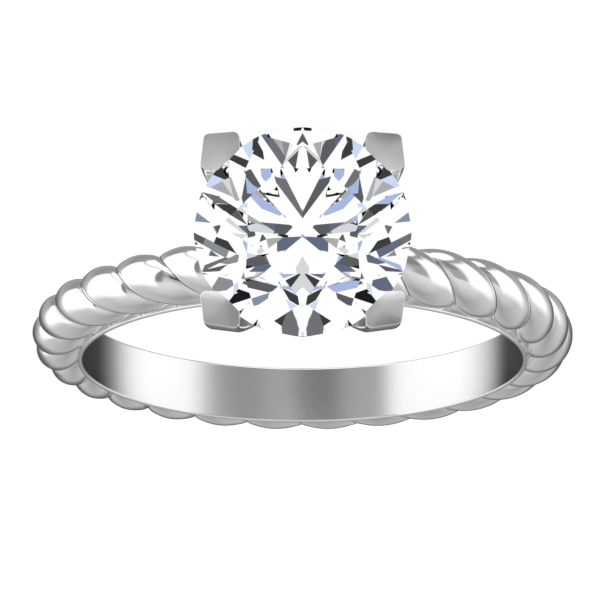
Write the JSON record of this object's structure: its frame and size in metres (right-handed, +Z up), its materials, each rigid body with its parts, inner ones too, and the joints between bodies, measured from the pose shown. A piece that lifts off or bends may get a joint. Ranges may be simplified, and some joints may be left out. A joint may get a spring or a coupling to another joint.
{
  "type": "solitaire engagement ring",
  "caption": "Solitaire ring lying on its side: twisted rope shank around a thin inner band, claw head and a round brilliant-cut stone.",
  "frame": {"origin": "centre of the bounding box in X and Y, on the table that the ring lies on", "axes": "-Y towards the stone's table, +Y towards the far side of the shank, +Z up from the table, near the axis of the finger hole"},
  "size_m": [0.0202, 0.0254, 0.008],
  "materials": {
    "white_gold": "polished, rhodium plated",
    "diamond": "faceted, polished, colourless"
  },
  "bodies": {
    "root": {"mounting": "white_gold", "stone": "diamond"}
  },
  "joints": []
}
